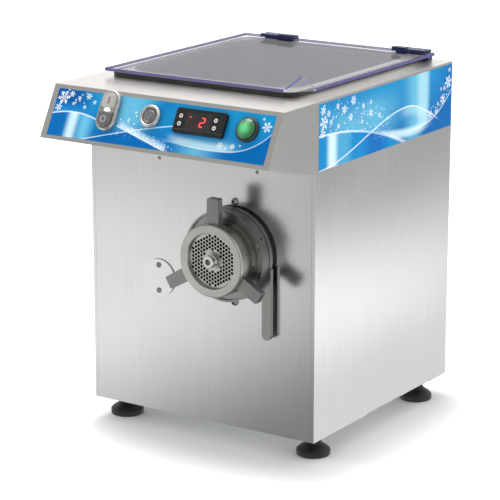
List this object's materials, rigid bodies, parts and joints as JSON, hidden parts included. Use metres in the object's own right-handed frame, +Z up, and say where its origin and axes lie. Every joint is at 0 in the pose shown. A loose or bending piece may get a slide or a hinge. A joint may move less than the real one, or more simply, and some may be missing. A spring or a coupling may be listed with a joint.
{
  "type": "electric meat grinder",
  "caption": "Stainless electric meat grinder with a front mincing head and locking lever, sloping control panel, and a chilled feed tray under a clear hinged lid.",
  "frame": {"origin": "on the floor at the centre of the whole outline, between the hood's lower lip at the front and the cable gland at the back", "axes": "+Z up, front of the machine and its mincing head towards -Y, +X to the right when seen from the front"},
  "size_m": [0.3506, 0.472, 0.5042],
  "materials": {
    "sheet_steel": "brushed",
    "panel_steel": "brushed",
    "hood_steel": "brushed",
    "disc_steel": "brushed",
    "tray_steel": "brushed",
    "fastener_steel": "polished",
    "bezel_steel": "polished",
    "head_steel": "turned",
    "lever_steel": "satin",
    "flange_steel": "turned",
    "auger_steel": "cast and polished",
    "blade_steel": "ground",
    "plate_steel": "ground",
    "nut_steel": "turned",
    "bearing_steel": "ground",
    "gear_steel": "machined",
    "printed_film": "printed, glossy",
    "side_film": "printed, glossy",
    "foot_rubber": "moulded",
    "gasket_rubber": "matte",
    "black_plastic": "moulded",
    "clear_lid": "clear polycarbonate",
    "hinge_plastic": "moulded navy",
    "button_housing": "chromed plastic",
    "start_cap": "satin",
    "stop_cap": "satin",
    "pilot_lens": "lit lens",
    "green_lens": "lit lens",
    "controller_plastic": "moulded",
    "display_window": "tinted window",
    "key_plastic": "moulded",
    "cast_aluminium": "die-cast",
    "motor_paint": "semi-gloss",
    "compressor_paint": "semi-gloss",
    "condenser_fins": "painted fins",
    "copper_pipe": "drawn copper",
    "box_plastic": "moulded"
  },
  "bodies": {
    "cabinet": {"base_plate": "sheet_steel", "front_panel": "panel_steel", "left_side_panel": "panel_steel", "right_side_panel": "panel_steel", "rear_panel": "panel_steel", "hood": "hood_steel", "panel_film": "printed_film", "side_films": "side_film", "feet": "foot_rubber", "foot_studs": "fastener_steel", "cover_disc": "disc_steel", "cabinet_screws": "fastener_steel", "cable_gland": "black_plastic", "tray": "tray_steel", "tray_gasket": "gasket_rubber", "hinge_bases": "hinge_plastic", "hinge_pins": "fastener_steel", "double_button_bezel": "button_housing", "indicator_lens": "pilot_lens", "round_button_bezel": "bezel_steel", "power_button_bezel": "black_plastic", "controller_body": "controller_plastic", "display_window": "display_window", "head_collar": "head_steel", "head_sleeve": "head_steel", "clamp_flange": "flange_steel", "flange_screws": "fastener_steel", "gearbox_housing": "cast_aluminium", "gearbox_cover": "cast_aluminium", "bearings": "bearing_steel", "shaft_seal": "gasket_rubber", "motor_body": "motor_paint", "motor_cowl": "motor_paint", "compressor": "compressor_paint", "condenser": "condenser_fins", "cooling_pipes": "copper_pipe", "control_box": "box_plastic"},
    "lid": {"lid": "clear_lid", "hinge_leaves": "hinge_plastic"},
    "start_button": {"start_button": "start_cap"},
    "stop_button": {"stop_button": "stop_cap"},
    "round_button": {"round_button": "stop_cap"},
    "power_button": {"power_button": "green_lens"},
    "set_key": {"set_key": "key_plastic"},
    "up_key": {"up_key": "key_plastic"},
    "down_key": {"down_key": "key_plastic"},
    "off_key": {"off_key": "key_plastic"},
    "locking_lever": {"locking_lever": "lever_steel"},
    "head": {"barrel": "head_steel", "mincing_plate": "plate_steel"},
    "auger": {"auger": "auger_steel", "knife": "blade_steel"},
    "ring_nut": {"ring_nut": "nut_steel"},
    "output": {"output_shaft": "bearing_steel", "output_gear": "gear_steel"},
    "layshaft": {"layshaft": "bearing_steel", "layshaft_gear": "gear_steel"},
    "rotor": {"motor_rotor": "bearing_steel", "motor_fan": "black_plastic"},
    "condenser_fan": {"condenser_fan": "black_plastic"}
  },
  "joints": [
    {"name": "lid_hinge", "type": "hinge", "parent": "cabinet", "child": "lid", "pos_m": [0, 0.2145, 0.4848], "axis": [-1, 0, 0], "range_deg": [0, 100]},
    {"name": "start_press", "type": "slide", "parent": "cabinet", "child": "start_button", "axis": [0, 0.8805, -0.4741], "range_m": [0, 0.003], "stiffness_N_per_m": 1200},
    {"name": "stop_press", "type": "slide", "parent": "cabinet", "child": "stop_button", "axis": [0, 0.8805, -0.4741], "range_m": [0, 0.003], "stiffness_N_per_m": 1200},
    {"name": "round_press", "type": "slide", "parent": "cabinet", "child": "round_button", "axis": [0, 0.8805, -0.4741], "range_m": [0, 0.0035], "stiffness_N_per_m": 1200},
    {"name": "power_press", "type": "slide", "parent": "cabinet", "child": "power_button", "axis": [0, 0.8805, -0.4741], "range_m": [0, 0.003], "stiffness_N_per_m": 1200},
    {"name": "set_key_press", "type": "slide", "parent": "cabinet", "child": "set_key", "axis": [0, 0.8805, -0.4741], "range_m": [0, 0.001], "stiffness_N_per_m": 1500},
    {"name": "up_key_press", "type": "slide", "parent": "cabinet", "child": "up_key", "axis": [0, 0.8805, -0.4741], "range_m": [0, 0.001], "stiffness_N_per_m": 1500},
    {"name": "down_key_press", "type": "slide", "parent": "cabinet", "child": "down_key", "axis": [0, 0.8805, -0.4741], "range_m": [0, 0.001], "stiffness_N_per_m": 1500},
    {"name": "off_key_press", "type": "slide", "parent": "cabinet", "child": "off_key", "axis": [0, 0.8805, -0.4741], "range_m": [0, 0.001], "stiffness_N_per_m": 1500},
    {"name": "lever_turn", "type": "hinge", "parent": "cabinet", "child": "locking_lever", "pos_m": [0.054, -0.136, 0.267], "axis": [0, -1, 0], "range_deg": [0, 60]},
    {"name": "head_pull", "type": "slide", "parent": "cabinet", "child": "head", "axis": [0, -1, 0], "range_m": [0, 0.17]},
    {"name": "nut_turn", "type": "hinge", "parent": "head", "child": "ring_nut", "pos_m": [0.054, -0.17, 0.267], "axis": [0, -1, 0], "range_deg": [0, 90]},
    {"name": "auger_spin", "type": "hinge", "parent": "head", "child": "auger", "pos_m": [0.054, -0.12, 0.267], "axis": [0, 1, 0], "continuous": true},
    {"name": "output_spin", "type": "hinge", "parent": "cabinet", "child": "output", "pos_m": [0.054, 0.015, 0.267], "axis": [0, 1, 0], "continuous": true},
    {"name": "layshaft_spin", "type": "hinge", "parent": "cabinet", "child": "layshaft", "pos_m": [0.054, 0.015, 0.1895], "axis": [0, 1, 0], "continuous": true},
    {"name": "motor_spin", "type": "hinge", "parent": "cabinet", "child": "rotor", "pos_m": [0.054, 0.1, 0.1235], "axis": [0, 1, 0], "continuous": true},
    {"name": "condenser_fan_spin", "type": "hinge", "parent": "cabinet", "child": "condenser_fan", "pos_m": [-0.095, 0.178, 0.275], "axis": [0, 1, 0], "continuous": true}
  ],
  "couplings": [
    {"joint": "layshaft_spin", "follows": "motor_spin", "ratio": -0.375},
    {"joint": "output_spin", "follows": "motor_spin", "ratio": 0.14167},
    {"joint": "auger_spin", "follows": "motor_spin", "ratio": 0.14167}
  ]
}
